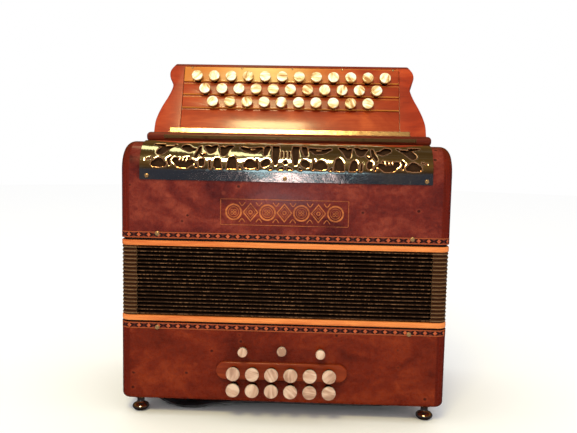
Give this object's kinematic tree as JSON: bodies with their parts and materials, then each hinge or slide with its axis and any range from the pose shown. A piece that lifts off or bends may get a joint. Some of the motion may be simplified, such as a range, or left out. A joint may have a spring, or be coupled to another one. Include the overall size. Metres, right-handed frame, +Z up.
{
  "type": "button accordion",
  "caption": "Diatonic button accordion standing on its bass end: tilted fingerboard with rows of pearl buttons, chrome grille, black bellows, bass buttons, register stops and feet.",
  "frame": {"origin": "centre of the rectangle that the instrument stands on, at the underside of its feet", "axes": "+Z up, from the bass end to the fingerboard, along the bellows' travel; -Y is the front, which carries the grille and the buttons; X runs along the button rows"},
  "size_m": [0.325, 0.215, 0.3644],
  "materials": {
    "burl_veneer": "polished mottled burl veneer, dark red-brown",
    "end_cover_wood": "polished dark wood",
    "frame_wood": "satin light orange wood",
    "bellows_cloth": "black cloth and card with brown tape on the ridges",
    "strap_leather": "dark grey leather",
    "reed_wood": "bare spruce",
    "fingerboard_wood": "polished orange-red wood",
    "steel": "ground rod",
    "grille_chrome": "mirror chrome",
    "bass_pearl": "pinkish pearl celluloid",
    "treble_pearl": "cream pearl celluloid"
  },
  "bodies": {
    "bass_half": {"bass_casing": "burl_veneer", "bass_end_cover": "end_cover_wood", "bass_bellows_frame": "frame_wood", "bellows": "bellows_cloth", "hand_strap": "strap_leather"},
    "treble_half": {"treble_casing": "burl_veneer", "treble_soundboard": "reed_wood", "treble_bellows_frame": "frame_wood", "fingerboard": "fingerboard_wood", "treble_key_axle": "steel", "treble_grille": "grille_chrome"},
    "air_button_body": {"air_button": "bass_pearl"},
    "register_stop_1_body": {"register_stop_1": "bass_pearl"},
    "register_stop_2_body": {"register_stop_2": "bass_pearl"},
    "register_stop_3_body": {"register_stop_3": "bass_pearl"},
    "bass_button_1_1_body": {"bass_button_1_1": "bass_pearl"},
    "bass_button_1_2_body": {"bass_button_1_2": "bass_pearl"},
    "bass_button_1_3_body": {"bass_button_1_3": "bass_pearl"},
    "bass_button_1_4_body": {"bass_button_1_4": "bass_pearl"},
    "bass_button_1_5_body": {"bass_button_1_5": "bass_pearl"},
    "bass_button_1_6_body": {"bass_button_1_6": "bass_pearl"},
    "bass_button_2_1_body": {"bass_button_2_1": "bass_pearl"},
    "bass_button_2_2_body": {"bass_button_2_2": "bass_pearl"},
    "bass_button_2_3_body": {"bass_button_2_3": "bass_pearl"},
    "bass_button_2_4_body": {"bass_button_2_4": "bass_pearl"},
    "bass_button_2_5_body": {"bass_button_2_5": "bass_pearl"},
    "bass_button_2_6_body": {"bass_button_2_6": "bass_pearl"},
    "treble_key_1_01_body": {"treble_key_1_01": "treble_pearl"},
    "treble_key_1_02_body": {"treble_key_1_02": "treble_pearl"},
    "treble_key_1_03_body": {"treble_key_1_03": "treble_pearl"},
    "treble_key_1_04_body": {"treble_key_1_04": "treble_pearl"},
    "treble_key_1_05_body": {"treble_key_1_05": "treble_pearl"},
    "treble_key_1_06_body": {"treble_key_1_06": "treble_pearl"},
    "treble_key_1_07_body": {"treble_key_1_07": "treble_pearl"},
    "treble_key_1_08_body": {"treble_key_1_08": "treble_pearl"},
    "treble_key_1_09_body": {"treble_key_1_09": "treble_pearl"},
    "treble_key_1_10_body": {"treble_key_1_10": "treble_pearl"},
    "treble_key_1_11_body": {"treble_key_1_11": "treble_pearl"},
    "treble_key_1_12_body": {"treble_key_1_12": "treble_pearl"},
    "treble_key_2_01_body": {"treble_key_2_01": "treble_pearl"},
    "treble_key_2_02_body": {"treble_key_2_02": "treble_pearl"},
    "treble_key_2_03_body": {"treble_key_2_03": "treble_pearl"},
    "treble_key_2_04_body": {"treble_key_2_04": "treble_pearl"},
    "treble_key_2_05_body": {"treble_key_2_05": "treble_pearl"},
    "treble_key_2_06_body": {"treble_key_2_06": "treble_pearl"},
    "treble_key_2_07_body": {"treble_key_2_07": "treble_pearl"},
    "treble_key_2_08_body": {"treble_key_2_08": "treble_pearl"},
    "treble_key_2_09_body": {"treble_key_2_09": "treble_pearl"},
    "treble_key_2_10_body": {"treble_key_2_10": "treble_pearl"},
    "treble_key_2_11_body": {"treble_key_2_11": "treble_pearl"},
    "treble_key_3_01_body": {"treble_key_3_01": "treble_pearl"},
    "treble_key_3_02_body": {"treble_key_3_02": "treble_pearl"},
    "treble_key_3_03_body": {"treble_key_3_03": "treble_pearl"},
    "treble_key_3_04_body": {"treble_key_3_04": "treble_pearl"},
    "treble_key_3_05_body": {"treble_key_3_05": "treble_pearl"},
    "treble_key_3_06_body": {"treble_key_3_06": "treble_pearl"},
    "treble_key_3_07_body": {"treble_key_3_07": "treble_pearl"},
    "treble_key_3_08_body": {"treble_key_3_08": "treble_pearl"},
    "treble_key_3_09_body": {"treble_key_3_09": "treble_pearl"},
    "treble_key_3_10_body": {"treble_key_3_10": "treble_pearl"}
  },
  "joints": [
    {"name": "bellows_slide", "type": "slide", "parent": "bass_half", "child": "treble_half", "axis": [0, 0, 1], "range_m": [0, 0.3], "deforming": ["bellows"]},
    {"name": "air_button_press", "type": "slide", "parent": "bass_half", "child": "air_button_body", "axis": [0, -1, 0], "range_m": [0, 0.004], "stiffness_N_per_m": 200, "springref_m": -0.002},
    {"name": "register_stop_1_slide", "type": "slide", "parent": "bass_half", "child": "register_stop_1_body", "axis": [0, 1, 0], "range_m": [0, 0.006]},
    {"name": "register_stop_2_slide", "type": "slide", "parent": "bass_half", "child": "register_stop_2_body", "axis": [0, 1, 0], "range_m": [-0.006, 0]},
    {"name": "register_stop_3_slide", "type": "slide", "parent": "bass_half", "child": "register_stop_3_body", "axis": [0, 1, 0], "range_m": [0, 0.006]},
    {"name": "bass_button_1_1_press", "type": "slide", "parent": "bass_half", "child": "bass_button_1_1_body", "axis": [0, 1, 0], "range_m": [0, 0.0035], "stiffness_N_per_m": 200, "springref_m": -0.002},
    {"name": "bass_button_1_2_press", "type": "slide", "parent": "bass_half", "child": "bass_button_1_2_body", "axis": [0, 1, 0], "range_m": [0, 0.0035], "stiffness_N_per_m": 200, "springref_m": -0.002},
    {"name": "bass_button_1_3_press", "type": "slide", "parent": "bass_half", "child": "bass_button_1_3_body", "axis": [0, 1, 0], "range_m": [0, 0.0035], "stiffness_N_per_m": 200, "springref_m": -0.002},
    {"name": "bass_button_1_4_press", "type": "slide", "parent": "bass_half", "child": "bass_button_1_4_body", "axis": [0, 1, 0], "range_m": [0, 0.0035], "stiffness_N_per_m": 200, "springref_m": -0.002},
    {"name": "bass_button_1_5_press", "type": "slide", "parent": "bass_half", "child": "bass_button_1_5_body", "axis": [0, 1, 0], "range_m": [0, 0.0035], "stiffness_N_per_m": 200, "springref_m": -0.002},
    {"name": "bass_button_1_6_press", "type": "slide", "parent": "bass_half", "child": "bass_button_1_6_body", "axis": [0, 1, 0], "range_m": [0, 0.0035], "stiffness_N_per_m": 200, "springref_m": -0.002},
    {"name": "bass_button_2_1_press", "type": "slide", "parent": "bass_half", "child": "bass_button_2_1_body", "axis": [0, 1, 0], "range_m": [0, 0.0035], "stiffness_N_per_m": 200, "springref_m": -0.002},
    {"name": "bass_button_2_2_press", "type": "slide", "parent": "bass_half", "child": "bass_button_2_2_body", "axis": [0, 1, 0], "range_m": [0, 0.0035], "stiffness_N_per_m": 200, "springref_m": -0.002},
    {"name": "bass_button_2_3_press", "type": "slide", "parent": "bass_half", "child": "bass_button_2_3_body", "axis": [0, 1, 0], "range_m": [0, 0.0035], "stiffness_N_per_m": 200, "springref_m": -0.002},
    {"name": "bass_button_2_4_press", "type": "slide", "parent": "bass_half", "child": "bass_button_2_4_body", "axis": [0, 1, 0], "range_m": [0, 0.0035], "stiffness_N_per_m": 200, "springref_m": -0.002},
    {"name": "bass_button_2_5_press", "type": "slide", "parent": "bass_half", "child": "bass_button_2_5_body", "axis": [0, 1, 0], "range_m": [0, 0.0035], "stiffness_N_per_m": 200, "springref_m": -0.002},
    {"name": "bass_button_2_6_press", "type": "slide", "parent": "bass_half", "child": "bass_button_2_6_body", "axis": [0, 1, 0], "range_m": [0, 0.0035], "stiffness_N_per_m": 200, "springref_m": -0.002},
    {"name": "treble_key_1_01_press", "type": "hinge", "parent": "treble_half", "child": "treble_key_1_01_body", "pos_m": [-0.1034, -0.01078, 0.25728], "axis": [-1, 0, 0], "range_deg": [0, 2.22], "stiffness_Nm_per_rad": 0.5, "springref_deg": -2.86},
    {"name": "treble_key_1_02_press", "type": "hinge", "parent": "treble_half", "child": "treble_key_1_02_body", "pos_m": [-0.0846, -0.01078, 0.25728], "axis": [-1, 0, 0], "range_deg": [0, 2.22], "stiffness_Nm_per_rad": 0.5, "springref_deg": -2.86},
    {"name": "treble_key_1_03_press", "type": "hinge", "parent": "treble_half", "child": "treble_key_1_03_body", "pos_m": [-0.0658, -0.01078, 0.25728], "axis": [-1, 0, 0], "range_deg": [0, 2.22], "stiffness_Nm_per_rad": 0.5, "springref_deg": -2.86},
    {"name": "treble_key_1_04_press", "type": "hinge", "parent": "treble_half", "child": "treble_key_1_04_body", "pos_m": [-0.047, -0.01078, 0.25728], "axis": [-1, 0, 0], "range_deg": [0, 2.22], "stiffness_Nm_per_rad": 0.5, "springref_deg": -2.86},
    {"name": "treble_key_1_05_press", "type": "hinge", "parent": "treble_half", "child": "treble_key_1_05_body", "pos_m": [-0.0282, -0.01078, 0.25728], "axis": [-1, 0, 0], "range_deg": [0, 2.22], "stiffness_Nm_per_rad": 0.5, "springref_deg": -2.86},
    {"name": "treble_key_1_06_press", "type": "hinge", "parent": "treble_half", "child": "treble_key_1_06_body", "pos_m": [-0.0094, -0.01078, 0.25728], "axis": [-1, 0, 0], "range_deg": [0, 2.22], "stiffness_Nm_per_rad": 0.5, "springref_deg": -2.86},
    {"name": "treble_key_1_07_press", "type": "hinge", "parent": "treble_half", "child": "treble_key_1_07_body", "pos_m": [0.0094, -0.01078, 0.25728], "axis": [-1, 0, 0], "range_deg": [0, 2.22], "stiffness_Nm_per_rad": 0.5, "springref_deg": -2.86},
    {"name": "treble_key_1_08_press", "type": "hinge", "parent": "treble_half", "child": "treble_key_1_08_body", "pos_m": [0.0282, -0.01078, 0.25728], "axis": [-1, 0, 0], "range_deg": [0, 2.22], "stiffness_Nm_per_rad": 0.5, "springref_deg": -2.86},
    {"name": "treble_key_1_09_press", "type": "hinge", "parent": "treble_half", "child": "treble_key_1_09_body", "pos_m": [0.047, -0.01078, 0.25728], "axis": [-1, 0, 0], "range_deg": [0, 2.22], "stiffness_Nm_per_rad": 0.5, "springref_deg": -2.86},
    {"name": "treble_key_1_10_press", "type": "hinge", "parent": "treble_half", "child": "treble_key_1_10_body", "pos_m": [0.0658, -0.01078, 0.25728], "axis": [-1, 0, 0], "range_deg": [0, 2.22], "stiffness_Nm_per_rad": 0.5, "springref_deg": -2.86},
    {"name": "treble_key_1_11_press", "type": "hinge", "parent": "treble_half", "child": "treble_key_1_11_body", "pos_m": [0.0846, -0.01078, 0.25728], "axis": [-1, 0, 0], "range_deg": [0, 2.22], "stiffness_Nm_per_rad": 0.5, "springref_deg": -2.86},
    {"name": "treble_key_1_12_press", "type": "hinge", "parent": "treble_half", "child": "treble_key_1_12_body", "pos_m": [0.1034, -0.01078, 0.25728], "axis": [-1, 0, 0], "range_deg": [0, 2.22], "stiffness_Nm_per_rad": 0.5, "springref_deg": -2.86},
    {"name": "treble_key_2_01_press", "type": "hinge", "parent": "treble_half", "child": "treble_key_2_01_body", "pos_m": [-0.094, -0.01078, 0.25728], "axis": [-1, 0, 0], "range_deg": [0, 2.66], "stiffness_Nm_per_rad": 0.5, "springref_deg": -2.86},
    {"name": "treble_key_2_02_press", "type": "hinge", "parent": "treble_half", "child": "treble_key_2_02_body", "pos_m": [-0.0752, -0.01078, 0.25728], "axis": [-1, 0, 0], "range_deg": [0, 2.66], "stiffness_Nm_per_rad": 0.5, "springref_deg": -2.86},
    {"name": "treble_key_2_03_press", "type": "hinge", "parent": "treble_half", "child": "treble_key_2_03_body", "pos_m": [-0.0564, -0.01078, 0.25728], "axis": [-1, 0, 0], "range_deg": [0, 2.66], "stiffness_Nm_per_rad": 0.5, "springref_deg": -2.86},
    {"name": "treble_key_2_04_press", "type": "hinge", "parent": "treble_half", "child": "treble_key_2_04_body", "pos_m": [-0.0376, -0.01078, 0.25728], "axis": [-1, 0, 0], "range_deg": [0, 2.66], "stiffness_Nm_per_rad": 0.5, "springref_deg": -2.86},
    {"name": "treble_key_2_05_press", "type": "hinge", "parent": "treble_half", "child": "treble_key_2_05_body", "pos_m": [-0.0188, -0.01078, 0.25728], "axis": [-1, 0, 0], "range_deg": [0, 2.66], "stiffness_Nm_per_rad": 0.5, "springref_deg": -2.86},
    {"name": "treble_key_2_06_press", "type": "hinge", "parent": "treble_half", "child": "treble_key_2_06_body", "pos_m": [0, -0.01078, 0.25728], "axis": [-1, 0, 0], "range_deg": [0, 2.66], "stiffness_Nm_per_rad": 0.5, "springref_deg": -2.86},
    {"name": "treble_key_2_07_press", "type": "hinge", "parent": "treble_half", "child": "treble_key_2_07_body", "pos_m": [0.0188, -0.01078, 0.25728], "axis": [-1, 0, 0], "range_deg": [0, 2.66], "stiffness_Nm_per_rad": 0.5, "springref_deg": -2.86},
    {"name": "treble_key_2_08_press", "type": "hinge", "parent": "treble_half", "child": "treble_key_2_08_body", "pos_m": [0.0376, -0.01078, 0.25728], "axis": [-1, 0, 0], "range_deg": [0, 2.66], "stiffness_Nm_per_rad": 0.5, "springref_deg": -2.86},
    {"name": "treble_key_2_09_press", "type": "hinge", "parent": "treble_half", "child": "treble_key_2_09_body", "pos_m": [0.0564, -0.01078, 0.25728], "axis": [-1, 0, 0], "range_deg": [0, 2.66], "stiffness_Nm_per_rad": 0.5, "springref_deg": -2.86},
    {"name": "treble_key_2_10_press", "type": "hinge", "parent": "treble_half", "child": "treble_key_2_10_body", "pos_m": [0.0752, -0.01078, 0.25728], "axis": [-1, 0, 0], "range_deg": [0, 2.66], "stiffness_Nm_per_rad": 0.5, "springref_deg": -2.86},
    {"name": "treble_key_2_11_press", "type": "hinge", "parent": "treble_half", "child": "treble_key_2_11_body", "pos_m": [0.094, -0.01078, 0.25728], "axis": [-1, 0, 0], "range_deg": [0, 2.66], "stiffness_Nm_per_rad": 0.5, "springref_deg": -2.86},
    {"name": "treble_key_3_01_press", "type": "hinge", "parent": "treble_half", "child": "treble_key_3_01_body", "pos_m": [-0.0846, -0.01078, 0.25728], "axis": [-1, 0, 0], "range_deg": [0, 3.32], "stiffness_Nm_per_rad": 0.5, "springref_deg": -2.86},
    {"name": "treble_key_3_02_press", "type": "hinge", "parent": "treble_half", "child": "treble_key_3_02_body", "pos_m": [-0.0658, -0.01078, 0.25728], "axis": [-1, 0, 0], "range_deg": [0, 3.32], "stiffness_Nm_per_rad": 0.5, "springref_deg": -2.86},
    {"name": "treble_key_3_03_press", "type": "hinge", "parent": "treble_half", "child": "treble_key_3_03_body", "pos_m": [-0.047, -0.01078, 0.25728], "axis": [-1, 0, 0], "range_deg": [0, 3.32], "stiffness_Nm_per_rad": 0.5, "springref_deg": -2.86},
    {"name": "treble_key_3_04_press", "type": "hinge", "parent": "treble_half", "child": "treble_key_3_04_body", "pos_m": [-0.0282, -0.01078, 0.25728], "axis": [-1, 0, 0], "range_deg": [0, 3.32], "stiffness_Nm_per_rad": 0.5, "springref_deg": -2.86},
    {"name": "treble_key_3_05_press", "type": "hinge", "parent": "treble_half", "child": "treble_key_3_05_body", "pos_m": [-0.0094, -0.01078, 0.25728], "axis": [-1, 0, 0], "range_deg": [0, 3.32], "stiffness_Nm_per_rad": 0.5, "springref_deg": -2.86},
    {"name": "treble_key_3_06_press", "type": "hinge", "parent": "treble_half", "child": "treble_key_3_06_body", "pos_m": [0.0094, -0.01078, 0.25728], "axis": [-1, 0, 0], "range_deg": [0, 3.32], "stiffness_Nm_per_rad": 0.5, "springref_deg": -2.86},
    {"name": "treble_key_3_07_press", "type": "hinge", "parent": "treble_half", "child": "treble_key_3_07_body", "pos_m": [0.0282, -0.01078, 0.25728], "axis": [-1, 0, 0], "range_deg": [0, 3.32], "stiffness_Nm_per_rad": 0.5, "springref_deg": -2.86},
    {"name": "treble_key_3_08_press", "type": "hinge", "parent": "treble_half", "child": "treble_key_3_08_body", "pos_m": [0.047, -0.01078, 0.25728], "axis": [-1, 0, 0], "range_deg": [0, 3.32], "stiffness_Nm_per_rad": 0.5, "springref_deg": -2.86},
    {"name": "treble_key_3_09_press", "type": "hinge", "parent": "treble_half", "child": "treble_key_3_09_body", "pos_m": [0.0658, -0.01078, 0.25728], "axis": [-1, 0, 0], "range_deg": [0, 3.32], "stiffness_Nm_per_rad": 0.5, "springref_deg": -2.86},
    {"name": "treble_key_3_10_press", "type": "hinge", "parent": "treble_half", "child": "treble_key_3_10_body", "pos_m": [0.0846, -0.01078, 0.25728], "axis": [-1, 0, 0], "range_deg": [0, 3.32], "stiffness_Nm_per_rad": 0.5, "springref_deg": -2.86}
  ]
}
